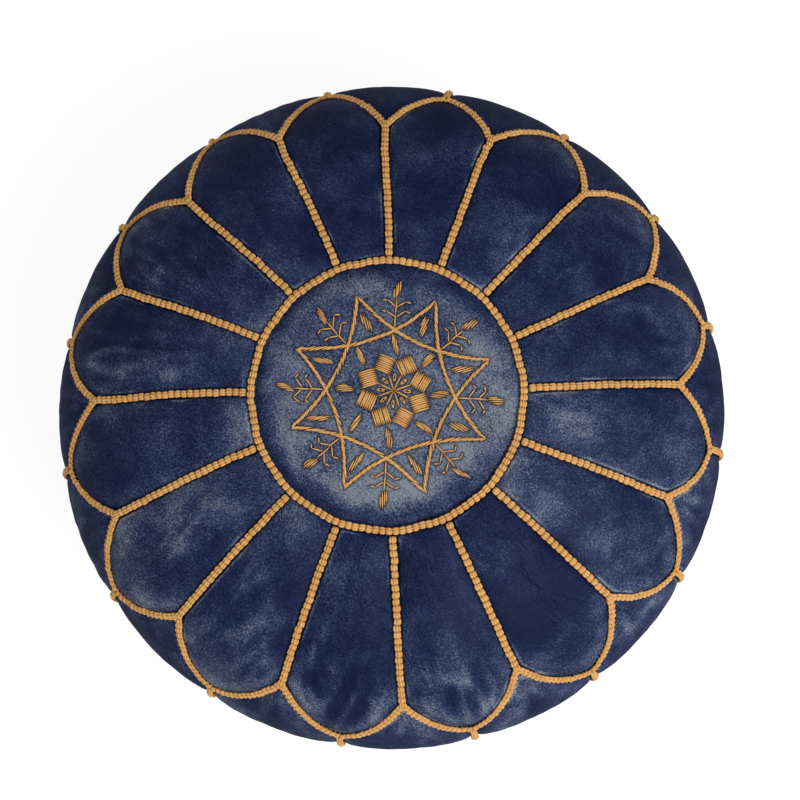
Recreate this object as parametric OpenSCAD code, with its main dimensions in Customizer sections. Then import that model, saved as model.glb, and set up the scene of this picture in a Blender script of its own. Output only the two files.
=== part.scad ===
// Round stuffed leather pouf: sixteen petals round an embroidered medallion, sixteen side
// panels, sixteen petals underneath and a zipped base. Z is up and the floor is z = 0.

/* [Stuffed shape] */
// Widest diameter of the leather
pouf_d = 520; // [440:5:600]
// Height of the widest line above the floor
widest_z = 150; // [130:5:170]
// Rise of the seams from the widest line to the middle of the top
crown_h = 145; // [120:5:160]
// How square the upper shoulder is, where 2 is an ellipse
shoulder_power = 2.5; // [2:0.1:3]
// Radius where the flat resting ring ends and the side begins
rest_r = 200; // [180:5:215]
// Height of the base panel above the floor
base_recess = 9; // [9:1:14]

/* [Leather] */
// Number of petals, and of side panels
petals = 16; // [12:2:16]
// Thickness of the leather
leather_t = 1.6; // [1.2:0.1:2]
// Gap left at each seam
seam_gap = 0.6; // [0.4:0.1:1]
// Radius of the medallion's seam
medallion_r = 97; // [80:1:110]
// How far the medallion lies below its seam
medallion_sink = 2; // [1:0.5:5]
// Radius of the base panel's seam
base_r = 150; // [140:1:155]
// Angle of the surface at the top petals' inner corners, from the pole
petal_corner = 53; // [48:1:56]
// Angle of the surface at the top petals' tips, from the pole
petal_tip = 69; // [64:1:72]
// Angle of the surface at the bottom petals' tips, below the widest line
under_tip = 28; // [24:1:32]
// Angle of the surface at the bottom petals' inner corners, below the widest line
under_corner = 46; // [42:1:50]
// How round a petal's end is, where 1 is a straight point and 2 a parabola
tip_power = 1.4; // [1.2:0.1:2]

/* [Braids and embroidery] */
// Width of the braid worked over each seam
braid_w = 6.4; // [5:0.2:8]
// Height of the braid above the leather
braid_h = 3; // [2:0.2:4]
// Thickness of the embroidery on the medallion
embroidery_t = 1; // [0.8:0.1:1.5]
// Radius of the star's points
star_r = 74; // [66:1:78]
// Width of the star's lines
star_line = 2.2; // [1.6:0.2:3]
// How near the middle the star's bowed lines are drawn, as a share of its radius
star_bow = 0.4; // [0.36:0.01:0.5]
// How far the star is turned from the petals' middle lines
motif_turn = 6; // [0:1:22]

/* [Zip] */
// Length of the zip's chain
zip_l = 240; // [180:6:240]
// Distance from one tooth to the next
tooth_pitch = 3; // [3:0.5:4]
// Width of one side of the tape
tape_w = 15; // [13:1:18]
// Half of the opening between the leather edges
zip_window = 6; // [6:0.5:8]
// Length of the slider
slider_l = 14; // [12:1:16]
// Length of the pull tab
tab_l = 26; // [20:1:30]

/* [Hidden] */
$fn = 48;
step_deg = 360 / petals;
half_deg = step_deg / 2;
widest_r = pouf_d / 2;
clear = 0.3;
gap_deg = 0.1;
side_drop = widest_r - rest_r;
base_slope = 18;
crown_power = 2 / shoulder_power;

petal_names = [for (i = [1:petals]) str("top_petal_", i < 10 ? "0" : "", i)];
panel_names = [for (i = [1:petals]) str("side_panel_", i < 10 ? "0" : "", i)];

navy = [0.09, 0.13, 0.27];
gold = [0.83, 0.62, 0.32];
brass = [0.72, 0.58, 0.3];
cream = [0.87, 0.84, 0.76];

// ---- The outline of the leather, as points and outward directions in the (radius, height) plane ----

// Upper surface at an angle from the pole.
function crown_at(a) = [widest_r * pow(sin(a), crown_power), widest_z + crown_h * pow(cos(a), crown_power)];
// Lower side at an angle below the widest line.
function under_at(a) = [rest_r + side_drop * cos(a), widest_z * (1 - sin(a))];

function unit(v) = v / norm(v);
function outward(before, after) = let (d = unit(after - before)) [-d[1], d[0]];
// Directions away from the filling at each point of a path that runs from the top down.
function directions(p) = [
    for (i = [0:len(p) - 1]) outward(p[max(i - 1, 0)], p[min(i + 1, len(p) - 1)])
];
function moved_out(p, d) = let (n = directions(p)) [for (i = [0:len(p) - 1]) p[i] + d * n[i]];
function backwards(p) = [for (i = [len(p) - 1:-1:0]) p[i]];
// The closed strip between two distances from a path.
function strip(p, inner, outer) = concat(moved_out(p, outer), backwards(moved_out(p, inner)));

ring_angle = asin(pow(medallion_r / widest_r, 1 / crown_power));
crown_path = [for (i = [0:12]) crown_at(ring_angle + (petal_tip + 3 - ring_angle) * i / 12)];
side_path = concat(
    [for (i = [0:6]) crown_at(petal_corner - 2 + (90 - petal_corner + 2) * i / 6)],
    [for (i = [1:6]) under_at((under_corner + 3) * i / 6)]
);
floor_edge = [base_r + base_slope, 0];
base_edge = [base_r, base_recess];
petal_edge = floor_edge + (base_edge - floor_edge) * (1 - (braid_w / 2 + 0.6) / base_slope);
under_path = concat(
    [for (i = [0:7]) under_at(under_tip - 3 + (93 - under_tip) * i / 7)],
    [floor_edge, petal_edge]
);
whole_path = concat(
    [for (i = [0:14]) crown_at(ring_angle + (90 - ring_angle) * i / 14)],
    [for (i = [1:10]) under_at(9 * i)],
    [floor_edge, base_edge]
);

// ---- The petals' pointed ends ----

// The four facts of a petal end: [tip, corner, rise of the cutting direction, half width].
function petal_end(tip, corner) = [
    tip,
    corner,
    atan((tip[0] - corner[0] * cos(half_deg)) / (corner[1] - tip[1])),
    corner[0] * sin(half_deg)
];
top_end = petal_end(crown_at(petal_tip), crown_at(petal_corner));
under_end = petal_end(under_at(under_tip), under_at(under_corner));

// How far a point of the end lies down the slope, across the cutting direction.
function down_slope(r, z, rise) = r * sin(rise) - (z - widest_z) * cos(rise);
// The end's line, for u from -1 at one corner through 0 at the tip to 1 at the other corner.
function end_line(e, u) =
    let (
        x_tip = down_slope(e[0][0], e[0][1], e[2]),
        x_corner = down_slope(e[1][0] * cos(half_deg), e[1][1], e[2])
    ) [x_tip - (x_tip - x_corner) * pow(abs(u), tip_power), u * e[3]];
function end_points(e, far) = [for (i = [-8:8]) end_line(e, far * i / 8)];

module along_cut(e, az) {
    translate([0, 0, widest_z]) rotate([0, 90 - e[2], az]) children();
}

// Everything on the petal's side of its end line, moved out or in by grow.
module petal_side(e, az, grow, inward) {
    line = moved_out(end_points(e, 1.15), -inward * grow);
    last = len(line) - 1;
    far = inward * 330;
    along_cut(e, az) translate([0, 0, 90]) linear_extrude(height = 220)
        polygon(concat([[line[0][0] - far, line[0][1]]], line, [[line[last][0] - far, line[last][1]]]));
}

// A band of the braid's width on the end line.
module end_band(e, az) {
    along_cut(e, az) translate([0, 0, 90]) linear_extrude(height = 220)
        polygon(strip(end_points(e, 1.02), -braid_w / 2, braid_w / 2));
}

module turned_strip(path, inner, outer, from, to) {
    rotate([0, 0, from]) rotate_extrude(angle = to - from, convexity = 4)
        polygon(strip(path, inner, outer));
}

// ---- Leather ----

module top_petal(i) {
    az = i * step_deg;
    color(navy) intersection() {
        turned_strip(crown_path, -leather_t, 0, az - half_deg + gap_deg, az + half_deg - gap_deg);
        petal_side(top_end, az, -seam_gap / 2, 1);
    }
}

module side_panel(i) {
    az = (i + 0.5) * step_deg;
    color(navy) difference() {
        turned_strip(side_path, -leather_t, 0, az - half_deg + gap_deg, az + half_deg - gap_deg);
        for (s = [-1, 1]) {
            petal_side(top_end, az + s * half_deg, seam_gap / 2, 1);
            petal_side(under_end, az + s * half_deg, seam_gap / 2, -1);
        }
    }
}

module bottom_petal(i) {
    az = i * step_deg;
    color(navy) intersection() {
        turned_strip(under_path, -leather_t, 0, az - half_deg + gap_deg, az + half_deg - gap_deg);
        union() {
            petal_side(under_end, az, -seam_gap / 2, -1);
            cylinder(r = rest_r, h = 20);
        }
    }
}

module medallion() {
    color(navy) translate([0, 0, medallion_z() - leather_t])
        cylinder(r = medallion_r - braid_w / 2, h = leather_t);
}
function medallion_z() = crown_at(ring_angle)[1] - medallion_sink;

// Half of the base disc on the side that s says, with its share of the zip's opening.
module base_panel(s) {
    color(navy) difference() {
        translate([0, 0, base_recess]) intersection() {
            cylinder(r = base_r - seam_gap, h = leather_t);
            translate([-base_r, s > 0 ? seam_gap / 2 : -base_r - seam_gap / 2, 0])
                cube([2 * base_r, base_r, leather_t]);
        }
        translate([-zip_l / 2 - 6, -zip_window, 0]) cube([zip_l + 12, 2 * zip_window, 20]);
    }
}

// ---- Braids worked over the seams ----

module ring_braid(r, z) {
    color(gold) rotate_extrude(convexity = 4) translate([r, z]) intersection() {
        circle(r = braid_w / 2);
        square([braid_w, braid_h], center = true);
    }
}

// The part of a braid layer that lies in a straight strip over one seam.
module straight_braid(path, az) {
    color(gold) intersection() {
        turned_strip(path, clear, braid_h, az - 4, az + 4);
        rotate([0, 0, az]) translate([0, -braid_w / 2, -10]) cube([widest_r + 20, braid_w, 400]);
    }
}

module scallop_braid(e, path, az) {
    color(gold) intersection() {
        turned_strip(path, clear, braid_h, az - half_deg + 0.6, az + half_deg - 0.6);
        end_band(e, az);
    }
}

spoke_start = asin(pow((medallion_r + braid_w / 2 + 0.5) / widest_r, 1 / crown_power));
spoke_path = [for (i = [0:8]) crown_at(spoke_start + (petal_corner - 2 - spoke_start) * i / 8)];
seam_path = concat(
    [for (i = [0:4]) crown_at(petal_tip + 2 + (88 - petal_tip) * i / 4)],
    [for (i = [1:3]) under_at((under_tip - 2) * i / 3)]
);
scallop_path = [for (i = [0:8]) crown_at(petal_corner - 4 + (petal_tip - petal_corner + 7) * i / 8)];
under_scallop_path = [for (i = [0:8]) under_at(under_tip - 3 + (under_corner - under_tip + 7) * i / 8)];
// Underneath, the spokes' braid stops where the leather meets the floor.
under_spoke_path = [for (i = [0:6]) under_at(under_corner + 3 + 19 * i / 6)];

module top_spoke_braids() {
    for (i = [0:petals - 1]) straight_braid(spoke_path, (i + 0.5) * step_deg);
}
module top_scallop_braids() {
    for (i = [0:petals - 1]) scallop_braid(top_end, scallop_path, i * step_deg);
}
module side_seam_braids() {
    for (i = [0:petals - 1]) straight_braid(seam_path, i * step_deg);
}
module bottom_scallop_braids() {
    for (i = [0:petals - 1]) scallop_braid(under_end, under_scallop_path, i * step_deg);
}
module bottom_spoke_braids() {
    for (i = [0:petals - 1]) straight_braid(under_spoke_path, (i + 0.5) * step_deg);
}

// ---- Embroidery on the medallion ----

module raised() {
    color(gold) translate([0, 0, medallion_z() + 0.05]) rotate(motif_turn)
        linear_extrude(height = embroidery_t) children();
}

// One line of the star, from a point to the next but one, bowed towards the middle.
function star_side(a, u) = let (
    p = star_r * [cos(a), sin(a)],
    q = star_r * [cos(a + 90), sin(a + 90)],
    m = star_r * star_bow * [cos(a + 45), sin(a + 45)]
) (1 - u) * (1 - u) * p + 2 * u * (1 - u) * m + u * u * q;

module embroidery_star() {
    raised() for (k = [0:7])
        polygon(strip([for (i = [0:8]) star_side(k * 45 + 22.5, i / 8)], -star_line / 2, star_line / 2));
}

satin_square = 12;
satin_r = 0.29 * star_r;
module embroidery_rosette() {
    raised() for (k = [0:7]) rotate(k * 45 + 22.5) {
        translate([satin_r, 0]) rotate(45) square(satin_square - 1, center = true);
        translate([1.5, -0.4]) square([satin_r - satin_square * 0.75 - 1.5, 0.8]);
    }
}

// A leaf of long stitches, pointed at both ends.
module leaf(l, w) {
    polygon([[-l / 2, 0], [-l / 6, w / 2], [l / 6, w / 2], [l / 2, 0], [l / 6, -w / 2], [-l / 6, -w / 2]]);
}

module embroidery_leaves() {
    raised() for (k = [0:7]) {
        rotate(k * 45 + 22.5) translate([star_r * 0.73, 0]) leaf(15, 4);
        rotate(k * 45) translate([star_r * 0.46, 0]) leaf(14, 4);
    }
}

module thread_line(a, b) {
    polygon(strip([a, b], -0.4, 0.4));
}

// A sprig outside each crossing of the star: a stem, two pairs of bent twigs and a bud.
module embroidery_sprigs() {
    stem_0 = star_r * 0.68;
    stem_1 = star_r * 0.94;
    raised() for (k = [0:7]) rotate(k * 45) {
        thread_line([stem_0, 0], [stem_1, 0]);
        for (x = [stem_0 + 6, stem_0 + 12.5], s = [-1, 1]) {
            thread_line([x + 0.6, s * 0.9], [x + 5.5, s * 6.5]);
            thread_line([x + 5, s * 7.6], [x + 2.5, s * 11]);
        }
        translate([stem_1 + 7.2, 0]) leaf(13, 3.4);
    }
}

// ---- Inside ----

lining_t = 0.7;
lining_out = leather_t + 0.8;
module closed_body(d) {
    p = moved_out(whole_path, -d);
    last = len(p) - 1;
    rotate_extrude(convexity = 4) polygon(concat([[0, p[0][1] - medallion_sink]],
        [[medallion_r - 4, p[0][1] - medallion_sink]], p, [[0, p[last][1]]]));
}

module zip_channel(half_w, top) {
    translate([-zip_l / 2 - 10, -half_w, -1]) cube([zip_l + 20, 2 * half_w, top + 1]);
}

module cotton_lining() {
    color(cream) difference() {
        closed_body(lining_out);
        closed_body(lining_out + lining_t);
        zip_channel(tape_w + 4, base_recess + 12);
    }
}

module filling() {
    color(cream) difference() {
        closed_body(lining_out + lining_t + clear);
        zip_channel(tape_w + 6, base_recess + 9);
    }
}

// ---- Zip ----

chain_z = base_recess + 2.2;
tape_t = 0.6;
tooth_h = 2.8;
tooth_in = 0.8;
tooth_out = 4.4;
slider_x = zip_l / 2 - slider_l / 2;
plate_t = 1.2;
plate_half_w = 5.3;
plate_low = chain_z - tooth_h / 2 - clear;
plate_high = chain_z + tooth_h / 2 + clear;
pin_r = 0.8;
pin_z = plate_low - plate_t - 2;
lug_y = 1.9;
lug_t = 0.8;

module zip_tape(s) {
    color(navy) translate([-zip_l / 2 - 6, s > 0 ? 2.6 : -2.6 - tape_w, chain_z - tape_t / 2])
        cube([zip_l + 12, tape_w, tape_t]);
}

module tooth(x, s) {
    difference() {
        translate([x - tooth_pitch * 0.3, s > 0 ? tooth_in : -tooth_out, chain_z - tooth_h / 2])
            cube([tooth_pitch * 0.6, tooth_out - tooth_in, tooth_h]);
        translate([x - tooth_pitch, s > 0 ? 2.4 : -10, chain_z - tape_t / 2 - 0.1])
            cube([2 * tooth_pitch, 7.6, tape_t + 0.2]);
    }
}

module zip_teeth(s) {
    teeth = floor(zip_l / tooth_pitch) - 1;
    shift = s > 0 ? 0 : tooth_pitch / 2;
    color(brass) for (i = [0:teeth - 1]) tooth(-zip_l / 2 + 1.2 + shift + i * tooth_pitch, s);
}

module stop_block(x, y, w) {
    difference() {
        translate([x, y, chain_z - tooth_h / 2]) cube([2.4, w, tooth_h]);
        for (s = [-1, 1]) translate([x - 1, s > 0 ? 2.4 : -10, chain_z - tape_t / 2 - 0.1])
            cube([5, 7.6, tape_t + 0.2]);
    }
}

module zip_top_stops() {
    color(brass) {
        stop_block(zip_l / 2 + 0.6, tooth_in, tooth_out - tooth_in);
        stop_block(zip_l / 2 + 0.6, -tooth_out, tooth_out - tooth_in);
    }
}

module zip_bottom_stop() {
    color(brass) stop_block(-zip_l / 2 - 3, -tooth_out, 2 * tooth_out);
}

module zip_stitching() {
    stitch_l = 3.4;
    color(gold) for (i = [0:46], s = [-1, 1])
        translate([-zip_l / 2 + i * 5.1, s * (zip_window + 3), base_recess - 0.45])
            rotate([0, 90, 0]) cylinder(r = 0.4, h = stitch_l);
}

module slider_plate(z) {
    translate([0, 0, z]) linear_extrude(height = plate_t) intersection() {
        circle(r = slider_l * 0.56);
        square([slider_l, 2 * plate_half_w], center = true);
    }
}

// Two plates held apart by a thin divider, side guides, and two lugs with the pull's pin.
module zip_slider() {
    guide_h = tooth_h / 2 - tape_t / 2 - 0.1;
    color(brass) translate([slider_x, 0, 0]) {
        slider_plate(plate_low - plate_t);
        slider_plate(plate_high);
        translate([0, -0.5, plate_low - 0.2]) cube([slider_l * 0.4, 1, plate_high - plate_low + 0.4]);
        for (s = [-1, 1]) {
            y = s > 0 ? 4.6 : -plate_half_w;
            translate([-slider_l * 0.3, y, plate_low - 0.2]) cube([slider_l * 0.6, 0.7, guide_h + 0.2]);
            translate([-slider_l * 0.3, y, plate_high - guide_h]) cube([slider_l * 0.6, 0.7, guide_h + 0.2]);
            translate([-2, s > 0 ? lug_y : -lug_y - lug_t, pin_z - 1.2])
                cube([4, lug_t, plate_low - plate_t - pin_z + 1.4]);
        }
        translate([0, lug_y + lug_t / 2, pin_z]) rotate([90, 0, 0]) cylinder(r = pin_r, h = 2 * lug_y + lug_t);
    }
}

// A flat tab with an eye that turns on the slider's pin.
module zip_pull_tab() {
    tab_t = 1.2;
    eye_r = 1.7;
    color(brass) translate([slider_x, 0, pin_z]) difference() {
        union() {
            translate([0, lug_y - 0.2, 0]) rotate([90, 0, 0]) cylinder(r = eye_r, h = 2 * lug_y - 0.4);
            translate([0, 0, -tab_t / 2]) linear_extrude(height = tab_t) difference() {
                union() {
                    translate([-6, -lug_y + 0.2]) square([5, 2 * lug_y - 0.4]);
                    translate([-tab_l + 3, -3]) square([tab_l - 8, 6]);
                    translate([-tab_l + 3, 0]) circle(r = 3);
                }
                translate([-tab_l + 4, 0]) circle(r = 1.3);
            }
        }
        translate([0, 3, 0]) rotate([90, 0, 0]) cylinder(r = pin_r + 0.1, h = 6);
    }
}

top_ring_z = crown_at(ring_angle)[1] + clear + braid_h / 2;
bottom_ring_z = base_recess - clear - braid_h / 2;

// ---- One line for each node ----

medallion();
embroidery_star();
embroidery_rosette();
embroidery_leaves();
embroidery_sprigs();
for (i = [0:petals - 1]) {
    top_petal(i);
    side_panel(i);
}
for (i = [0:petals - 1]) bottom_petal(i);  // bottom_petals
base_panel(1);  // base_panel_left
base_panel(-1);  // base_panel_right
ring_braid(medallion_r, top_ring_z);  // top_ring_braid
top_spoke_braids();
top_scallop_braids();
side_seam_braids();
bottom_scallop_braids();
bottom_spoke_braids();
ring_braid(base_r, bottom_ring_z);  // bottom_ring_braid
cotton_lining();
filling();
zip_tape(1);  // zip_tape_left
zip_tape(-1);  // zip_tape_right
zip_teeth(1);  // zip_teeth_left
zip_teeth(-1);  // zip_teeth_right
zip_top_stops();
zip_bottom_stop();
zip_stitching();
zip_slider();
zip_pull_tab();
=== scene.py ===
"""A round stuffed leather pouf: petals, side panels and a medallion, sewn with gold thread."""
import math
from types import SimpleNamespace

import bpy
import numpy as np
from mathutils import Matrix, Vector, kdtree, noise


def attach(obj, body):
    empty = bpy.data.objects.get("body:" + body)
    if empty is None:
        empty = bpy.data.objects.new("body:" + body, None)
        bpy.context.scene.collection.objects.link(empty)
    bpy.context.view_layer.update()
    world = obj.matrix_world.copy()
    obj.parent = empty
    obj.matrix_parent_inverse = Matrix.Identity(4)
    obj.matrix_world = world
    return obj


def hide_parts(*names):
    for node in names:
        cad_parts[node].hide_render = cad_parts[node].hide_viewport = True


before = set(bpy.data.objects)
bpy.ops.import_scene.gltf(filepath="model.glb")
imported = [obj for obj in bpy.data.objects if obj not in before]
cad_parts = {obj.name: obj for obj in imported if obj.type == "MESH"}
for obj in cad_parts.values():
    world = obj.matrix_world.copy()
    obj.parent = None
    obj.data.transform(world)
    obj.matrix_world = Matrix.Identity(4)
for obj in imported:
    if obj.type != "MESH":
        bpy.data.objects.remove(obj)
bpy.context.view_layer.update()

# ---- Sizes, as in part.scad, in metres and degrees ----

WIDEST_R, WIDEST_Z, CROWN_H, SHOULDER = 0.260, 0.150, 0.145, 2.5
REST_R, FLOOR_R, BASE_R, BASE_Z = 0.200, 0.168, 0.150, 0.009
MEDALLION_R, LEATHER = 0.097, 0.0016
CORNER, TIP, UNDER_TIP, UNDER_CORNER = 53.0, 69.0, 28.0, 46.0
ZIP_HALF = 0.120
PETALS = 16
STEP = 2 * math.pi / PETALS

# ---- How the sewn cover differs from the plain CAD one ----

SEAM_DEPTH = 0.003  # how far the sewn seams are drawn in below the CAD surface
SIDE_OUT = 0.0006  # the side seams are drawn in by that much less
ARCH = 1.45  # roundness of the petals' ends
MOTIF_TURN = math.radians(6)
OFF_CENTRE = np.array([0.0, -0.0028])  # the medallion's middle, from the pouf's
# The petals' ends hang LEAN lower on the side at LEAN_WAY, and that much higher opposite.
LEAN, LEAN_WAY = 0.008, math.radians(-100)
# The seams are turned on by CROWDED radians at CROWDED_WAY, and back opposite.
CROWDED, CROWDED_WAY = 0.035, math.radians(-25)
# The same at the medallion's seam, which is also turned as a whole.
RING_CROWDED, RING_CROWDED_WAY = 0.040, math.radians(-30)
RING_TURN = math.radians(-0.75)
# Along the outline, the ring's unevenness has died out by RING_REACH, and the seams' is full by SIDE_REACH.
RING_REACH, SIDE_REACH = 0.1, 0.2

uneven = np.random.default_rng(5)  # how the seams stray
rng = np.random.default_rng(16)  # how each stitch differs
tones = np.random.default_rng(16)  # how each leather piece differs

# ---- The cover's outline and its seams ----


def crown_at(deg):
    a, p = math.radians(deg), 2 / SHOULDER
    return WIDEST_R * math.sin(a) ** p, WIDEST_Z + CROWN_H * max(math.cos(a), 0) ** p


def under_at(deg):
    a = math.radians(deg)
    return REST_R + (WIDEST_R - REST_R) * math.cos(a), WIDEST_Z * (1 - math.sin(a))


RING_DEG = math.degrees(math.asin((MEDALLION_R / WIDEST_R) ** (SHOULDER / 2)))
RING_Z = crown_at(RING_DEG)[1]


def run_along(points):
    """The distance along a line of points, at each of them."""
    return np.concatenate([[0], np.cumsum(np.linalg.norm(np.diff(points, axis=0), axis=1))])


def between(values, run, points):
    """The points of a line at the given distances along it."""
    return np.stack([np.interp(values, run, points[:, k]) for k in range(points.shape[1])], 1)


class Outline:
    """The leather's outline in the (radius, height) plane, by distance along it from the medallion's seam."""

    def __init__(self):
        pts = [crown_at(d) for d in np.linspace(RING_DEG, 90, 160)]
        pts += [under_at(d) for d in np.linspace(0, 90, 160)[1:]]
        pts += [(FLOOR_R + 0.004, 0.0), (FLOOR_R - 0.004, 0.0012), (BASE_R + 0.004, 0.0075), (BASE_R, BASE_Z)]
        self.p = np.array(pts)
        self.s = run_along(self.p)
        self.corner = self.find(*crown_at(CORNER))
        self.tip = self.find(*crown_at(TIP))
        self.under_tip = self.find(*under_at(UNDER_TIP))
        self.under_corner = self.find(*under_at(UNDER_CORNER))
        self.end = float(self.s[-1])

    def find(self, r, z):
        return float(self.s[np.argmin(np.hypot(self.p[:, 0] - r, self.p[:, 1] - z))])

    def point(self, s):
        return np.interp(s, self.s, self.p[:, 0]), np.interp(s, self.s, self.p[:, 1])

    def normal(self, s):
        r0, z0 = self.point(np.clip(s - 0.003, 0, self.end))
        r1, z1 = self.point(np.clip(s + 0.003, 0, self.end))
        n = np.hypot(r1 - r0, z1 - z0)
        return -(z1 - z0) / n, (r1 - r0) / n


LINE = Outline()


def stray(size, turns):
    """A random wave for each number of times round: (times round, size, phase)."""
    return [(k, size * uneven.uniform(0.4, 1.0), uneven.uniform(-math.pi, math.pi)) for k in turns]


def waves(az, terms):
    return sum(size * np.cos(turns * az + phase) for turns, size, phase in terms)


RING_SWING = [(0, RING_TURN, 0), (1, RING_CROWDED, -RING_CROWDED_WAY)]
SWING = [(1, CROWDED, -CROWDED_WAY)] + stray(0.004, (2, 3, 4, 6))
DRIFT = [(1, LEAN, -LEAN_WAY)] + stray(0.002, (2, 3, 4, 5, 6, 7))
LOPSIDED = stray(0.0015, (2, 3, 5))  # how far a top petal's end leans to one side
POINTED = [(0, 0.0035, 0)] + stray(0.0035, (2, 4, 5))  # how far it stands out at its tip


def ring_pull(az):
    """Each spoke pulls the medallion's seam out a little."""
    return -0.0004 * np.cos(PETALS * az)


def surface(az, s, out):
    """Points at azimuth az and distance s along the outline, moved out by out, as unevenly as hand work."""
    az, s = np.broadcast_arrays(np.asarray(az, float), np.asarray(s, float))
    near_ring = np.clip(1 - s / RING_REACH, 0, 1)
    a = az + near_ring * waves(az, RING_SWING) + np.clip(s / SIDE_REACH, 0, 1) * waves(az, SWING)
    fade = np.clip(s / 0.08, 0, 1) * np.clip((LINE.end - s) / 0.12, 0, 1)
    at = np.clip(s + fade * waves(az, DRIFT), 0, LINE.end)
    r, z = LINE.point(at)
    nr, nz = LINE.normal(at)
    out = out + SIDE_OUT * np.exp(-((at - LINE.tip - 0.05) / 0.06) ** 2)
    r, z = r + nr * out + near_ring ** 3 * ring_pull(az), z + nz * out
    x = r * np.cos(a) + near_ring * OFF_CENTRE[0]
    y = r * np.sin(a) + near_ring * OFF_CENTRE[1]
    return np.stack([x, y, z], -1)


def arch(across, tip, corner):
    """Distance along the outline of a petal's end, for across from -1 to 1."""
    return tip - (tip - corner) * np.abs(across) ** ARCH


def low_arch(across):
    """The same for a bottom petal."""
    return arch(across, LINE.under_tip, LINE.under_corner)


def top_arch(across, az):
    """The same for a top petal, with the unevenness of its cutting."""
    lopsided = waves(az, LOPSIDED) * np.sin(math.pi * across)
    pointed = waves(az, POINTED) * (0.5 - np.abs(across) ** ARCH)
    return arch(across, LINE.tip, LINE.corner) + lopsided + pointed


def spaced(n, crowding=0.45):
    """n + 1 values from 0 to 1, closer together at both ends."""
    t = np.linspace(0, 1, n + 1)
    return t - crowding * np.sin(2 * math.pi * t) / (2 * math.pi)


# ---- Meshes ----


def grid_faces(rows, cols, wrap):
    r, c = np.meshgrid(np.arange(rows - 1), np.arange(cols if wrap else cols - 1), indexing="ij")
    r, c = r.ravel(), c.ravel()
    d = (c + 1) % cols
    return np.stack([r * cols + c, (r + 1) * cols + c, (r + 1) * cols + d, r * cols + d], 1)


def grid_normals(x):
    """Outward unit normals of a closed grid whose rows run down and whose columns run counter-clockwise."""
    n = np.cross(np.gradient(x, axis=0), np.roll(x, -1, 1) - np.roll(x, 1, 1))
    return n / np.maximum(np.linalg.norm(n, axis=2, keepdims=True), 1e-12)


def new_mesh(name, verts, faces):
    me = bpy.data.meshes.new(name)
    verts = np.asarray(verts, float).reshape(-1, 3)
    me.from_pydata(verts.tolist(), [], [list(map(int, f)) for f in faces])
    me.validate()
    me.update()
    me.polygons.foreach_set("use_smooth", [True] * len(me.polygons))
    ob = bpy.data.objects.new(name, me)
    bpy.context.scene.collection.objects.link(ob)
    return ob


def dress(ob, slot, nodes):
    """Give a sewn or stuffed piece its slot and that slot's look, and set it in its nodes' place."""
    ob.data.materials.append(LOOKS[slot])
    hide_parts(*nodes)
    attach(ob, "pouf")


def thicken(ob, name, thickness):
    """Add that thickness on the inner side."""
    thick = ob.modifiers.new(name, "SOLIDIFY")
    thick.thickness, thick.offset = thickness, -1


def add_float(ob, name, values):
    values = np.asarray(values, float).ravel()
    ob.data.attributes.new(name, "FLOAT", "POINT").data.foreach_set("value", values)


def add_uv(ob, uv):
    """Each face corner takes its vertex's place on the flat leather, in metres."""
    corners = np.empty(len(ob.data.loops), int)
    ob.data.loops.foreach_get("vertex_index", corners)
    ob.data.uv_layers.new(name="UVMap").data.foreach_set("uv", np.asarray(uv).reshape(-1, 2)[corners].ravel())


def lumps(points, scale, seed):
    """Smooth noise from -1 to 1 at each point."""
    off = Vector((seed * 7.3, seed * 3.1, seed * 5.7))
    values = [noise.noise(Vector(p) * scale + off) for p in points.reshape(-1, 3)]
    return np.array(values).reshape(points.shape[:-1])


# ---- The whole cover as one grid, blown up as cloth between its seams ----

HALF_COLS = 12
COLS = 2 * HALF_COLS * PETALS
BANDS = (50, 40, 36)  # rows in a top petal, a side panel and a bottom petal
FIRST = np.cumsum((0,) + BANDS)
half = spaced(HALF_COLS) / 2
col_az = np.concatenate([(i + np.concatenate([half[:-1], 0.5 + half[:-1]])) * STEP for i in range(PETALS)])
col_across = np.mod(col_az / STEP + 0.5, 1) * 2 - 1  # -1 and 1 on the spokes, 0 on a petal's middle line
ends = [np.zeros(COLS), top_arch(col_across, col_az), low_arch(col_across), np.full(COLS, LINE.end)]


def rows_down():
    """How far down the outline each row lies, from the medallion's seam to the base's."""
    rows = [ends[0][None, :]]
    for band, n in enumerate(BANDS):
        rows.append(ends[band] + spaced(n)[1:, None] * (ends[band + 1] - ends[band]))
    return np.concatenate(rows)


def seams():
    """Which points of the grid are sewn fast."""
    spoke, middle = np.zeros(COLS, bool), np.zeros(COLS, bool)
    spoke[HALF_COLS::2 * HALF_COLS] = True
    middle[::2 * HALF_COLS] = True
    sewn = np.zeros(grid_s.shape, bool)
    sewn[FIRST] = True
    sewn[FIRST[0]:FIRST[1] + 1, spoke] = True
    sewn[FIRST[1]:FIRST[2] + 1, middle] = True
    sewn[FIRST[2]:, spoke] = True
    return sewn


def from_seams():
    """How far each point of the grid is from the nearest seam."""
    sewn = seam_grid[pinned]
    tree = kdtree.KDTree(len(sewn))
    for i, p in enumerate(sewn):
        tree.insert(p, i)
    tree.balance()
    return np.array([tree.find(p)[2] for p in seam_grid.reshape(-1, 3)]).reshape(grid_s.shape)


grid_s = rows_down()
ROWS = len(grid_s)
grid_az = np.broadcast_to(col_az, grid_s.shape)
pinned = seams()
seam_grid = surface(grid_az, grid_s, -SEAM_DEPTH)
seam_gap = from_seams()
below_end = grid_s - ends[1]  # how far below the top petals' ends

SIM_FRAMES = 24
MOST_MOVED = 0.010  # the most that a point may lie off the surface through the seams


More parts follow.
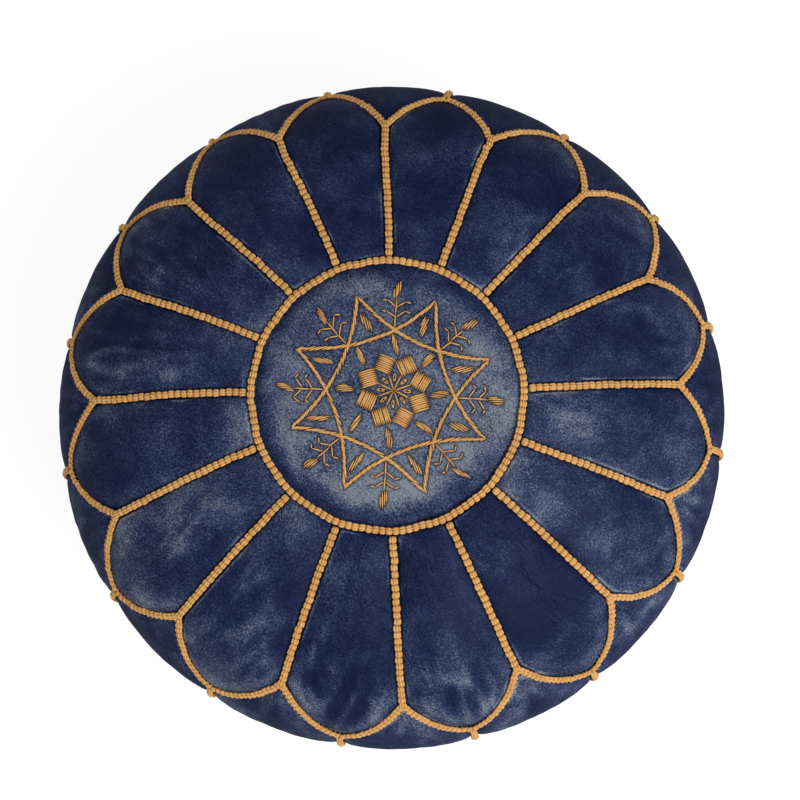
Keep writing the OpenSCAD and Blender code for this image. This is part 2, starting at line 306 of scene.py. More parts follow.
def cloth_object(start):
    """The grid as cloth: held at its seams, with spare leather near the top petals' ends."""
    ob = new_mesh("cover_cloth", start, grid_faces(ROWS, COLS, wrap=True))
    pin = ob.vertex_groups.new(name="pin")
    pin.add(np.flatnonzero(pinned.ravel()).tolist(), 1.0, "REPLACE")
    slack = ob.vertex_groups.new(name="slack")
    rows_away = np.abs(np.arange(ROWS)[:, None] - FIRST[1])
    loose = (np.clip(1 - rows_away / 22, 0, 1) * (0.6 + 0.4 * lumps(seam_grid, 9, 2))).ravel()
    for i in np.flatnonzero(loose > 0.02):
        slack.add([int(i)], float(min(loose[i], 1)), "REPLACE")
    mod = ob.modifiers.new("cloth", "CLOTH")
    c = mod.settings
    c.quality = 5
    c.mass = 0.3
    c.tension_stiffness = c.compression_stiffness = 20
    c.shear_stiffness = 8
    c.bending_stiffness = 0.6
    c.tension_damping = c.compression_damping = 10
    c.vertex_group_mass = "pin"
    c.vertex_group_shrink = "slack"
    c.shrink_min = -0.004
    c.shrink_max = -0.045
    c.use_pressure = True
    c.uniform_pressure_force = 1.6
    c.effector_weights.gravity = 0
    mod.collision_settings.use_collision = False
    mod.point_cache.frame_start, mod.point_cache.frame_end = 1, SIM_FRAMES
    return ob


def blown_up():
    """The grid after the leather has been pressed out from inside and has puckered at its seams."""
    full = np.clip(seam_gap / 0.030, 0, 1)
    rise = 0.0035 * np.sin(full * math.pi / 2) + 0.0007 * lumps(seam_grid, 45, 1) * full
    start = seam_grid + grid_normals(seam_grid) * rise[..., None]
    ob = cloth_object(start)
    for f in range(1, SIM_FRAMES + 1):
        bpy.context.scene.frame_set(f)
    done = ob.evaluated_get(bpy.context.evaluated_depsgraph_get()).to_mesh()
    x = np.empty(len(done.vertices) * 3)
    done.vertices.foreach_get("co", x)
    bpy.context.scene.frame_set(1)
    bpy.data.objects.remove(ob)
    moved = x.reshape(seam_grid.shape) - seam_grid
    far = np.linalg.norm(moved, axis=2, keepdims=True)
    tight = 1 - 0.45 * np.clip(below_end / 0.03, 0, 1)[..., None]  # the sides bulge less
    return seam_grid + moved * tight * np.minimum(1, MOST_MOVED / np.maximum(far, 1e-9))


def gathers():
    """How gathered the leather is, from -1 to 1, in folds down the sides from the petals' corners."""
    beside = (1 - np.abs(col_across)) * STEP / 2 * WIDEST_R
    run = np.clip(below_end / 0.010, 0, 1) * np.exp(-np.clip(below_end, 0, None) / 0.045)
    bend = beside - 0.25 * np.clip(below_end, 0, None)
    ribs = np.cos(2 * math.pi * bend / 0.019) * np.exp(-(bend / 0.024) ** 2)
    return ribs * run * np.clip(0.55 + 1.2 * lumps(seam_grid, 14, 13), 0, 1)


def folds():
    """Shallow folds, up to 1, that run away from the medallion, strongest towards the petals' ends."""
    flat = np.stack([grid_az * 0.22, grid_s * 0.24, np.floor(grid_az / STEP + 0.5) * 0.31], -1)
    flat[..., 0] += 0.25 * (grid_s - 0.1) * np.sin(grid_az * 3)
    ridge = 1 - 4.2 * np.abs(lumps(flat, 74, 11)) + 0.8 * lumps(flat, 37, 16)
    patchy = np.clip(0.55 + 2.0 * lumps(cover, 12, 12), 0, 1)
    outer = np.clip(grid_s / 0.12, 0.2, 1) * np.clip((LINE.end - grid_s) / 0.10, 0, 1)
    outer = outer * (1 - 0.75 * np.clip(below_end / 0.03, 0, 1))
    creased = 0.62 + 0.38 * np.cos(grid_az + 1.9)
    ridge = np.clip(ridge, -0.7, 1) * patchy * outer * creased + 0.7 * gathers()
    return ridge * np.clip((seam_gap - 0.004) / 0.012, 0, 1)


FOLD_H = 0.0019  # height of a full fold
DIP = 0.0022  # how far the leather dips to each seam, under the thread
LEAST_Z = 0.0004  # below this height the leather is pressed flat

cover = blown_up()
folded = folds()
cover = cover + grid_normals(cover) * FOLD_H * folded[..., None]
cover = cover - grid_normals(cover) * (DIP * np.exp(-(seam_gap / 0.0034) ** 2))[..., None]
# What would go through the floor lies flat just above it.
on_floor = LEAST_Z * np.exp(np.minimum(cover[..., 2] / LEAST_Z - 1, 0))
cover[..., 2] = np.where(cover[..., 2] < LEAST_Z, on_floor, cover[..., 2])

# ---- Material helpers ----


def material(name):
    m = bpy.data.materials.new(name)
    m.use_nodes = True
    nt = m.node_tree
    return m, nt, nt.nodes["Principled BSDF"]


def node(nt, kind, **values):
    n = nt.nodes.new(kind)
    for k, v in values.items():
        if k in n.inputs:
            n.inputs[k].default_value = v
        else:
            setattr(n, k, v)
    return n


def ramp(nt, source, stops):
    n = nt.nodes.new("ShaderNodeValToRGB")
    first, last = n.color_ramp.elements
    first.position, first.color = stops[0][0], (*stops[0][1], 1)
    last.position, last.color = stops[-1][0], (*stops[-1][1], 1)
    for at, col in stops[1:-1]:
        n.color_ramp.elements.new(at).color = (*col, 1)
    nt.links.new(source, n.inputs[0])
    return n.outputs[0]


def grey(level):
    return (level, level, level)


def math_node(nt, op, a, b=None, c=None, clamp=False):
    n = nt.nodes.new("ShaderNodeMath")
    n.operation, n.use_clamp = op, clamp
    for i, v in enumerate((a, b, c)):
        if v is None:
            continue
        if isinstance(v, (int, float)):
            n.inputs[i].default_value = v
        else:
            nt.links.new(v, n.inputs[i])
    return n.outputs[0]


def times(nt, a, b):
    return math_node(nt, "MULTIPLY", a, b)


def times_plus(nt, a, b, c, clamp=False):
    return math_node(nt, "MULTIPLY_ADD", a, b, c, clamp)


def blend_colour(nt, factor, a, b, kind="MIX"):
    n = nt.nodes.new("ShaderNodeMix")
    n.data_type, n.blend_type = "RGBA", kind
    for socket, v in ((n.inputs[0], factor), (n.inputs[6], a), (n.inputs[7], b)):
        if isinstance(v, (int, float)):
            socket.default_value = v
        elif isinstance(v, tuple):
            socket.default_value = (*v, 1)
        else:
            nt.links.new(v, socket)
    return n.outputs[2]


def grain_noise(nt, coords, scale, detail=4.0, rough=0.55, distort=0.0):
    n = node(nt, "ShaderNodeTexNoise", Scale=scale, Detail=detail, Roughness=rough, Distortion=distort)
    nt.links.new(coords, n.inputs["Vector"])
    return n.outputs["Fac"]


def bands(nt, coords, scale, distort, way="X"):
    n = node(nt, "ShaderNodeTexWave", bands_direction=way, Scale=scale, Distortion=distort)
    nt.links.new(coords, n.inputs["Vector"])
    return n.outputs["Fac"]


def bumped(nt, shader, height, strength, distance):
    bump = node(nt, "ShaderNodeBump", Strength=strength, Distance=distance)
    nt.links.new(height, bump.inputs["Height"])
    nt.links.new(bump.outputs[0], shader.inputs["Normal"])


def attribute(nt, name):
    return node(nt, "ShaderNodeAttribute", attribute_name=name).outputs["Fac"]


def coords_of(nt, kind):
    return nt.nodes.new("ShaderNodeTexCoord").outputs[kind]


def shifted(nt, coords, by, scale=(1.0, 1.0, 1.0)):
    """Coordinates stretched by scale and moved by a value that differs from panel to panel."""
    stretch = node(nt, "ShaderNodeMapping", Scale=scale)
    nt.links.new(coords, stretch.inputs["Vector"])
    spread = nt.nodes.new("ShaderNodeCombineXYZ")
    nt.links.new(times(nt, by, 31.0), spread.inputs[0])
    nt.links.new(times(nt, by, 17.0), spread.inputs[1])
    add = nt.nodes.new("ShaderNodeVectorMath")
    nt.links.new(stretch.outputs[0], add.inputs[0])
    nt.links.new(spread.outputs[0], add.inputs[1])
    return add.outputs[0]


def centred(nt, value, gain):
    """A noise value made to vary round zero, times a gain."""
    return times(nt, math_node(nt, "SUBTRACT", value, 0.5), gain)


# ---- Leather ----


def hide_way(nt, tone):
    """Flat leather coordinates, turned to the way that the hide was drawn in each panel."""
    turn = nt.nodes.new("ShaderNodeVectorRotate")
    turn.rotation_type = "Z_AXIS"
    nt.links.new(coords_of(nt, "UV"), turn.inputs["Vector"])
    nt.links.new(centred(nt, tone, 1.5), turn.inputs["Angle"])
    return turn.outputs[0]


def leather_patterns(nt, tone):
    """The leather's own patterns: clouds, mottling, pebbled grain, brushed streaks and creases."""
    at = shifted(nt, coords_of(nt, "Object"), tone)
    hide = hide_way(nt, tone)
    brushed = grain_noise(nt, shifted(nt, hide, tone, (600.0, 330.0, 1.0)), 1.0, 4, 0.60, 0.2)
    line = grain_noise(nt, shifted(nt, hide, tone, (130.0, 30.0, 1.0)), 1.0, 3, 0.55, 1.3)
    off_line = math_node(nt, "ABSOLUTE", math_node(nt, "SUBTRACT", line, 0.5))
    crease = times_plus(nt, off_line, -26.0, 1.0, clamp=True)
    crumpled = ramp(nt, grain_noise(nt, at, 19, 3), [(0.47, grey(0)), (0.58, grey(1))])
    return SimpleNamespace(
        cloud=grain_noise(nt, at, 12, 3, 0.55, 0.5),
        mottle=grain_noise(nt, at, 44, 4, 0.55, 0.5),
        pebble=grain_noise(nt, at, 820, 3, 0.62, 0.3),
        brushed=brushed,
        where_brushed=ramp(nt, grain_noise(nt, at, 16, 2), [(0.44, grey(0.12)), (0.60, grey(1))]),
        creases=times(nt, crease, crumpled),
        some_seams=ramp(nt, grain_noise(nt, at, 21, 2), [(0.52, grey(0)), (0.60, grey(1))]),
    )


def leather_colour(nt, look, seam_cm):
    """Navy dye, paler where the leather is worn and where light is painted in, with painted shade along the
    seams and under the stitches.
    """
    # the wear attribute holds wear and painted light and shade together
    wear = attribute(nt, "wear")
    hem = ramp(nt, seam_cm, [(0.38, grey(0)), (0.44, grey(1)), (0.52, grey(0.5)), (0.66, grey(0))])
    cloudy = times_plus(nt, attribute(nt, "calm"), -0.75, 1.15)
    paleness = times_plus(nt, centred(nt, look.cloud, 1.0), cloudy, wear)
    paleness = math_node(nt, "ADD", paleness, centred(nt, look.mottle, 0.80))
    paleness = times_plus(nt, centred(nt, look.brushed, 0.60), look.where_brushed, paleness)
    # painted shade: the creases are drawn slightly darker
    paleness = times_plus(nt, look.creases, -0.06, paleness)
    paleness = times_plus(nt, times(nt, hem, look.some_seams), 0.50, paleness)
    speckled = times_plus(nt, wear, 0.5, 1.35)
    paleness = times_plus(nt, centred(nt, look.pebble, 1.0), speckled, paleness)
    colour = ramp(nt, paleness, [
        (0.0, (0.0050, 0.0095, 0.0400)), (0.28, (0.0105, 0.0180, 0.0580)), (0.46, (0.023, 0.035, 0.088)),
        (0.62, (0.050, 0.067, 0.130)), (0.80, (0.118, 0.142, 0.200)), (1.0, (0.210, 0.238, 0.290))])
    # painted shadow: the leather is darkened within a few millimetres of every seam, beside the braid
    near = ramp(nt, seam_cm, [(0.20, (0.20, 0.22, 0.34)), (0.42, grey(1))])
    colour = blend_colour(nt, 1.0, colour, near, "MULTIPLY")
    # painted shade: darker round every stitch, by the pressed attribute
    return blend_colour(nt, times(nt, attribute(nt, "pressed"), 0.9), colour, (0.004, 0.007, 0.026))


def leather_relief(nt, look):
    """The height of the grain, the mottling, the brushed streaks and the creases."""
    height = times(nt, look.pebble, 0.30)
    height = times_plus(nt, look.mottle, 0.8, height)
    height = times_plus(nt, times(nt, look.brushed, look.where_brushed), 0.35, height)
    return times_plus(nt, look.creases, -0.35, height)


def navy_leather():
    """Dyed leather: fine grain, brushed streaks and creases, and pale where it is worn, with painted light
    and shade in the same paleness.
    """
    m, nt, b = material("navy_leather")
    look = leather_patterns(nt, attribute(nt, "tone"))
    seam_cm = times(nt, attribute(nt, "seam_gap"), 100.0)
    nt.links.new(leather_colour(nt, look, seam_cm), b.inputs["Base Color"])
    rough = times_plus(nt, look.pebble, 0.30, 0.24)
    nt.links.new(times_plus(nt, look.mottle, 0.30, rough), b.inputs["Roughness"])
    b.inputs["Specular IOR Level"].default_value = 0.065
    bumped(nt, b, leather_relief(nt, look), 0.85, 0.0012)
    return m


# ---- Thread, cotton, tape and brass ----


def silk(name, dark, light):
    """Twisted thread, with painted shade in the grooves of its twist and where it dips: UV x runs along each
    thread in metres, and y once round it.
    """
    m, nt, b = material(name)
    coords = nt.nodes.new("ShaderNodeTexCoord")
    split = nt.nodes.new("ShaderNodeSeparateXYZ")
    nt.links.new(coords.outputs["UV"], split.inputs[0])
    turn = times_plus(nt, split.outputs[0], 900.0, split.outputs[1])
    strand = math_node(nt, "ABSOLUTE", math_node(nt, "SINE", times(nt, turn, 2 * math.pi)))
    wear = grain_noise(nt, coords.outputs["Object"], 60, 4, 0.6)
    fibre = grain_noise(nt, coords.outputs["Object"], 900, 3, 0.6)
    mix = times_plus(nt, wear, 0.7, times(nt, fibre, 0.5), clamp=True)
    colour = ramp(nt, mix, [(0.38, dark), (0.78, light)])
    shade = ramp(nt, strand, [(0.0, (0.74, 0.72, 0.68)), (0.45, grey(1))])
    colour = blend_colour(nt, 1.0, colour, shade, "MULTIPLY")
    # painted shade: darker where the thread dips between stitches and into the leather
    dip_shade = ramp(nt, attribute(nt, "dip"), [(0.10, grey(1)), (0.9, (0.62, 0.54, 0.44))])
    nt.links.new(blend_colour(nt, 1.0, colour, dip_shade, "MULTIPLY"), b.inputs["Base Color"])
    b.inputs["Roughness"].default_value = 0.65
    b.inputs["Specular IOR Level"].default_value = 0.25
    b.inputs["Sheen Weight"].default_value = 0.06
    b.inputs["Sheen Roughness"].default_value = 0.4
    bumped(nt, b, times_plus(nt, fibre, 0.5, strand), 0.5, 0.0002)
    return m


def cotton_cloth():
    """Unbleached plain weave."""
    m, nt, b = material("cotton_cloth")
    at = coords_of(nt, "Object")
    threads = math_node(nt, "MAXIMUM", bands(nt, at, 420.0, 0.6), bands(nt, at, 420.0, 0.6, "Z"))
    cloudy = times_plus(nt, threads, 0.5, times(nt, grain_noise(nt, at, 25), 0.6))
    colour = ramp(nt, cloudy, [(0.3, (0.55, 0.50, 0.40)), (0.8, (0.80, 0.76, 0.66))])
    nt.links.new(colour, b.inputs["Base Color"])
    b.inputs["Roughness"].default_value = 0.9
    bumped(nt, b, threads, 0.4, 0.0004)
    return m


def cotton_filling():
    """Loose cotton in tufts."""
    m, nt, b = material("cotton_filling")
    fluff = grain_noise(nt, coords_of(nt, "Object"), 90, 6, 0.7, 1.2)
    colour = ramp(nt, fluff, [(0.3, (0.50, 0.47, 0.40)), (0.7, (0.84, 0.82, 0.76))])
    nt.links.new(colour, b.inputs["Base Color"])
    b.inputs["Roughness"].default_value = 1.0
    bumped(nt, b, fluff, 0.9, 0.003)
    return m


def zip_tape():
    """Dark ribbed tape."""
    m, nt, b = material("zip_tape")
    ribs = bands(nt, coords_of(nt, "Object"), 500.0, 0.3, "DIAGONAL")
    colour = ramp(nt, ribs, [(0.2, (0.006, 0.008, 0.020)), (0.9, (0.022, 0.028, 0.055))])
    nt.links.new(colour, b.inputs["Base Color"])
    b.inputs["Roughness"].default_value = 0.85
    bumped(nt, b, ribs, 0.5, 0.0003)
    return m


def brass():
    """Tarnished brass."""
    m, nt, b = material("brass")
    at = coords_of(nt, "Object")
    tarnish = grain_noise(nt, at, 350, 5, 0.65)
    colour = ramp(nt, tarnish, [(0.35, (0.36, 0.23, 0.075)), (0.7, (0.66, 0.48, 0.20))])
    nt.links.new(colour, b.inputs["Base Color"])
    nt.links.new(times_plus(nt, tarnish, 0.3, 0.18), b.inputs["Roughness"])
    b.inputs["Metallic"].default_value = 1.0
    bumped(nt, b, grain_noise(nt, at, 1800, 2), 0.15, 0.0001)
    return m


LOOKS = {
    "navy_leather": navy_leather(),
    "gold_braid": silk("gold_braid", (0.57, 0.290, 0.084), (0.81, 0.455, 0.152)),
    "gold_thread": silk("gold_thread", (0.55, 0.282, 0.084), (0.82, 0.465, 0.156)),
    "cotton_cloth": cotton_cloth(),
    "cotton_filling": cotton_filling(),
}

# ---- Leather panels ----


def leather_piece(name, x, gaps, wear, uv, wrap=False, nodes=(), smooth=1):
    """A sewn leather panel from a grid of points on its outer face."""
    rows, cols = x.shape[:2]
    ob = new_mesh(name, x, grid_faces(rows, cols, wrap))
    add_float(ob, "seam_gap", gaps)
    # wear: how pale the leather is, from wear and from painted light and shade
    add_float(ob, "wear", wear)
    add_float(ob, "tone", np.full(rows * cols, tones.random()))
    add_uv(ob, uv)
    if smooth:
        sub = ob.modifiers.new("smooth", "SUBSURF")
        sub.levels = sub.render_levels = smooth
        sub.boundary_smooth = "PRESERVE_CORNERS"
    thicken(ob, "leather", LEATHER)
    dress(ob, "navy_leather", nodes or (name,))
    return ob


def cover_wear_and_light():
    """How pale the cover is: unevenly all over, by the medallion and at the petals' ends, and with painted
    light: paler in some directions round the pouf and darker in others, darker down the sides but with a
    painted highlight down one side, and with fold ridges painted paler and fold hollows darker.
    """
    by_ring = np.exp(-grid_s / 0.022) * (0.6 + 0.6 * lumps(cover, 30, 6))
    by_end = np.exp(-((below_end + 0.016) / 0.007) ** 2) * (0.4 + 0.9 * lumps(cover, 24, 7))
    side = np.clip(below_end / 0.022, 0, 1)
    # painted light: paler and darker by direction round the pouf
    painted_light_ways = 0.04 * np.cos(grid_az + math.radians(145)) + 0.09 * np.cos(2 * grid_az - math.radians(45))
    # lit: a painted highlight on one side, fading down the side
    lit = (0.5 + 0.5 * np.cos(grid_az + 1.2)) ** 2 * np.exp(-np.clip(below_end, 0, None) / 0.045)
    flat = np.stack([grid_az * 0.26, grid_s * 0.09, grid_s * 0], -1)
    # streaks: random pale streaks, stronger on the lit side as a painted sheen
    streaks = lumps(flat, 60, 14) * (0.08 + 0.26 * lit)
    # on_side: darker down the sides, with a painted highlight down the lit side
    on_side = side * (-0.12 + 0.40 * lit + streaks) + 0.24 * lit * np.clip(below_end / 0.03 + 1.6, 0, 1)
    worn = 0.28 + 0.11 * lumps(cover, 11, 5) + 0.20 * by_ring + 0.14 * by_end
    # folded: fold ridges painted paler and fold hollows darker, a painted highlight and shade on the folds
    return worn + painted_light_ways * (1 - side) + on_side + 0.40 * folded


def cover_panels():
    """Cut the cover into its petals and side panels."""
    wear = cover_wear_and_light()
    for i in range(PETALS):
        around = (np.arange(-HALF_COLS, HALF_COLS + 1) + 2 * HALF_COLS * i) % COLS
        beside = (np.arange(0, 2 * HALF_COLS + 1) + 2 * HALF_COLS * i) % COLS
        cuts = (("top_petal", 0, around), ("side_panel", 1, beside), ("bottom_petal", 2, around))
        for kind, band, columns in cuts:
            part = (slice(FIRST[band], FIRST[band + 1] + 1), columns)
            from_middle = (np.arange(len(columns)) / HALF_COLS - 1) * STEP / 2
            width = np.hypot(cover[part][..., 0], cover[part][..., 1]) * from_middle
            nodes = ("bottom_petals",) if kind == "bottom_petal" else ()
            leather_piece(f"{kind}_{i + 1:02d}", cover[part], seam_gap[part], wear[part],
                          np.stack([width, grid_s[part]], -1), nodes=nodes)


cover_panels()

# ---- Thread work ----

SIDES = 7  # of each thread's round section
round_section = np.arange(SIDES) * 2 * math.pi / SIDES


def thread_points(line, radius, flat_by):
    """A tube's rings round its centre line, then the points of its two rounded ends."""
    tang = np.gradient(line, axis=0)
    tang /= np.maximum(np.linalg.norm(tang, axis=1, keepdims=True), 1e-12)
    side = np.cross(tang, flat_by / np.linalg.norm(flat_by))
    side /= np.maximum(np.linalg.norm(side, axis=1, keepdims=True), 1e-12)
    nrm = np.cross(side, tang)
    rings = line[:, None, :] + radius[:, None, None] * (
        side[:, None, :] * np.cos(round_section)[None, :, None]
        + nrm[:, None, :] * np.sin(round_section)[None, :, None])
    first = line[:1] - tang[:1] * radius[0] * 0.6
    last = line[-1:] + tang[-1:] * radius[-1] * 0.6
    return [rings.reshape(-1, 3), first, last]


def thread_faces(line, start):
    """A tube's faces, its first point being start, and the UV of each face corner."""
    faces, uvs = [], []
    n = len(line)
    phase = (start % 97) * 0.0137  # so that the twist doesn't start alike on every thread
    run = run_along(line) + phase
    turns = [(j, (j + 1) % SIDES, j / SIDES, (j + 1) / SIDES) for j in range(SIDES)]
    for k in range(n - 1):
        here, there = start + k * SIDES, start + (k + 1) * SIDES
        for j, q, v, w in turns:
            faces.append((here + j, here + q, there + q, there + j))
            uvs += [(run[k], v), (run[k], w), (run[k + 1], w), (run[k + 1], v)]
    here, first, last = start + (n - 1) * SIDES, start + n * SIDES, start + n * SIDES + 1
    for j, q, v, w in turns:
        faces.append((start + q, start + j, first))
        uvs += [(phase, w), (phase, v), (phase, v)]
        faces.append((here + j, here + q, last))
        uvs += [(run[-1], v), (run[-1], w), (run[-1], v)]
    return faces, uvs


def thread_mesh(name, threads, slot):
    """One object from (centre line, radii, up) threads, each a closed tube."""
    verts, faces, uvs, dips = [], [], [], []
    count = 0
    for line, radius, flat_by in threads:
        verts += thread_points(line, radius, flat_by)
        new_faces, new_uvs = thread_faces(line, count)
        faces += new_faces
        uvs += new_uvs
        count += len(line) * SIDES + 2
        # dip: how far the thread narrows, used as painted shade
        groove_shade = np.clip((1 - radius / radius.max()) / 0.38, 0, 1)
        dips += [np.repeat(groove_shade, SIDES), groove_shade[:1], groove_shade[-1:]]
    ob = new_mesh(name, np.concatenate(verts), faces)
    add_float(ob, "dip", np.concatenate(dips))
    ob.data.uv_layers.new(name="UVMap").data.foreach_set("uv", np.array(uvs).ravel())
    dress(ob, slot, (name,))


# ---- Braids: plump stitches of three strands, end to end over each seam ----

BEAD = 0.0048  # length of a stitch
SCALLOP_BEAD, SCALLOP_WIDTH = 0.0042, 1.06  # the stitches round a petal's end are shorter and wider
BRAID_HALF = 0.0027
STRAND = 0.00110
SEAM_POINTS, RING_POINTS = 160, 400
bead_x = np.array([-0.48, -0.42, -0.31, -0.14, 0.14, 0.31, 0.42, 0.48])
bead_lift = np.array([0.0, 0.40, 0.80, 1.0, 1.0, 0.80, 0.40, 0.0])


def seam_line(az, s, cut=(0.0, 0.0)):
    """A seam's points and outward directions, shortened at each end."""
    pts, raised = surface(az, s, -SEAM_DEPTH), surface(az, s, 0.01 - SEAM_DEPTH)
    run = run_along(pts)
    keep = np.linspace(cut[0], run[-1] - cut[1], max(12, int(run[-1] / 0.0015)))
    return between(keep, run, pts), between(keep, run, (raised - pts) / 0.01)


def bead(a, b, up, width, height=0.0):
    """One plump stitch of the braid from a to b: three strands side by side that rise and dip again."""
    t = b - a
    length = np.linalg.norm(t)
    t = t / length
    up = up - t * (up @ t)
    up = up / np.linalg.norm(up)
    side = np.cross(t, up)
    skew, wide = rng.normal(0, 0.07), width * (1 + rng.normal(0, 0.05))
    push, rise = rng.normal(0, 0.00018), rng.normal(0, 0.00012)
    out = []
    for j in (-1, 0, 1):
        off = (j * (BRAID_HALF - STRAND) * wide) * (0.74 + 0.26 * bead_lift) + push
        z = 0.0016 + 0.0006 * (1 - abs(j)) + height + rise
        x = bead_x * length * (0.99 - 0.09 * abs(j))
        line = (a + b) / 2 + x[:, None] * t + (off + skew * x)[:, None] * side
        line = line + (z + 0.0021 * (bead_lift - 1))[:, None] * up
        radius = STRAND * (0.45 + 0.55 * bead_lift ** 0.6) * (1 + rng.normal(0, 0.04))
        line[:, 2] = np.maximum(line[:, 2], radius + 0.0002)
        out.append((line, radius, up))
    return out


def braid(seam, width=1.0, pitch=BEAD):
    """Stitches end to end over a seam."""
    pts, nrm = seam
    run = run_along(pts)
    marks = np.linspace(0, run[-1], max(2, int(round(run[-1] / pitch))) + 1)
    mid, nrm = between(marks, run, pts), between(marks, run, nrm)
    return [strand for k in range(len(mid) - 1)
            for strand in bead(mid[k], mid[k + 1], (nrm[k] + nrm[k + 1]) / 2, width)]


def straight_braid(az, s_from, s_to, cut):
    """A braid that runs down the cover."""
    return braid(seam_line(np.full(SEAM_POINTS, az), np.linspace(s_from, s_to, SEAM_POINTS), cut))


def scallop_braid(az, s, cut):
    """A braid round half of a petal's end."""
    return braid(seam_line(az, s, cut), SCALLOP_WIDTH, SCALLOP_BEAD)


def knot(az, s):
    """The stitch that ties three braids together at a petal's corner."""
    a, b = surface(az, s - 0.0026, -SEAM_DEPTH), surface(az, s + 0.0020, -SEAM_DEPTH)
    up = surface(az, s, 0.01) - surface(az, s, 0.0)
    return bead(a, b, up, 1.1, 0.0005)


def ring_braid(s):
    """A braid round the pouf."""
    return braid(seam_line(np.linspace(0, 2 * math.pi, RING_POINTS), np.full(RING_POINTS, s)))


def braids():
    """The braid over every seam of the cover."""
    fine = np.linspace(-1, 1, 121)
    spokes, scallops, side_seams, low_scallops, low_spokes = [], [], [], [], []
    for i in range(PETALS):
        mid, edge = i * STEP, (i + 0.5) * STEP
        corner, tip = float(top_arch(1.0, edge)), float(top_arch(0.0, mid))
        spokes += straight_braid(edge, 0, corner, (0.0036, 0.0024))
        side_seams += straight_braid(mid, tip, LINE.under_tip, (0.0030, 0.0030))
        low_spokes += straight_braid(edge, LINE.under_corner, LINE.end, (0.0024, 0.0036))
        for part, cut in ((fine[:61], (0.0020, 0.0004)), (fine[60:], (0.0004, 0.0020))):
            az = mid + part * STEP / 2
            scallops += scallop_braid(az, top_arch(part, az), cut)
            low_scallops += scallop_braid(az, low_arch(part), cut)
        scallops += knot(edge, corner)
        low_scallops += knot(edge, LINE.under_corner)
    thread_mesh("top_spoke_braids", spokes, "gold_braid")
    thread_mesh("side_seam_braids", side_seams, "gold_braid")
    thread_mesh("bottom_spoke_braids", low_spokes, "gold_braid")
    thread_mesh("top_scallop_braids", scallops, "gold_braid")
    thread_mesh("bottom_scallop_braids", low_scallops, "gold_braid")
    thread_mesh("top_ring_braid", ring_braid(0.0), "gold_braid")
    thread_mesh("bottom_ring_braid", ring_braid(LINE.end), "gold_braid")


braids()

# ---- The medallion and its embroidery: every stitch is a thread that dips into the leather at both ends ----

R = MEDALLION_R
POINTS = 8  # of the star
TURN = 360 / POINTS
STAR_R = 0.767 * R
STAR_AT = np.array([0.0021, 0.0006])  # the star's middle, from the medallion's
ROSETTE_AT = np.array([0.0041, 0.0030])
LEAVES_AT = np.array([0.0028, 0.0024])
spread_t = np.linspace(0, 1, 7)
arc_t = np.sin(math.pi * spread_t)
stitch_taper = 0.6 + 0.4 * arc_t ** 0.5


def medallion_z(x, y):
    """The medallion's outer face: drawn down at its seam and a little full inside it."""
    rho = np.hypot(x, y) / MEDALLION_R
    dip = 0.0042 * np.exp(-((1 - rho) / 0.085) ** 2)
    sway = 0.0006 * np.sin(x * 55 + 1) * np.cos(y * 48) + 0.0004 * np.sin(x * 130 + y * 90)
    return RING_Z - 0.0012 - dip + (sway + 0.0012 * (1 - rho ** 2)) * np.clip(1 - rho ** 4, 0, 1)


def stitch(p, q, radius=0.00056, lift=0.0004):
    xy = p + (q - p) * spread_t[:, None] + rng.normal(0, 0.00015, 2) * arc_t[:, None]
    z = medallion_z(xy[:, 0], xy[:, 1]) + radius * (1.3 * arc_t ** 0.4 - 0.9) + lift * arc_t
    return np.column_stack([xy + OFF_CENTRE, z]), radius * stitch_taper, np.array([0, 0, 1.0])


def spot(deg, radius, side=0.0, about=STAR_AT):
    """A point at an angle and radius from a motif's middle, moved sideways."""
    a = math.radians(deg) + MOTIF_TURN
    return about + (radius * math.cos(a) - side * math.sin(a), radius * math.sin(a) + side * math.cos(a))


def leaf(deg, radius, length, about=STAR_AT):
    """A lozenge of four long stitches side by side, each a little ahead of the last."""
    out = []
    slant = rng.choice([-1, 1]) * rng.uniform(0.7, 1.9)
    lean = rng.normal(0, 0.08)
    gap = 0.00135 * rng.uniform(0.9, 1.1)
    for j in range(4):
        y = (j - 1.5) * gap
        long = length / 2 * (1 - 0.38 * abs(y) / 0.0019) * (1 + rng.normal(0, 0.06))
        shift = y * slant + rng.normal(0, 0.0004)
        out.append(stitch(spot(deg, radius - long + shift, y - lean * long, about),
                          spot(deg, radius + long + shift, y + lean * long, about), 0.00052))
    return out


def star_stroke(deg):
    """Stem stitch from one tip to the next but one, bowed in towards the middle, doubled near the tips."""
    a, c, b = spot(deg, STAR_R), spot(deg + TURN, 0.305 * R), spot(deg + 2 * TURN, STAR_R)
    u = np.linspace(0, 1, 200)[:, None]
    bow = (1 - u) ** 2 * a + 2 * u * (1 - u) * c + u ** 2 * b
    run = run_along(bow)
    side = np.gradient(bow, axis=0)
    side = np.column_stack([-side[:, 1], side[:, 0]]) / np.linalg.norm(side, axis=1)[:, None]

    def along(s, off):
        s = min(max(s, 0), run[-1])
        return between([s], run, bow + off * side)[0]

    out = []
    s = -0.004
    while s < run[-1] - 0.003:
        length = 0.0100 * (1 + rng.normal(0, 0.10))
        lane = 0.00118 * (1 + rng.normal(0, 0.15))
        out.append(stitch(along(s, -lane), along(s + length, lane), 0.00068, 0.0005))
        s += length * 0.44
    return out


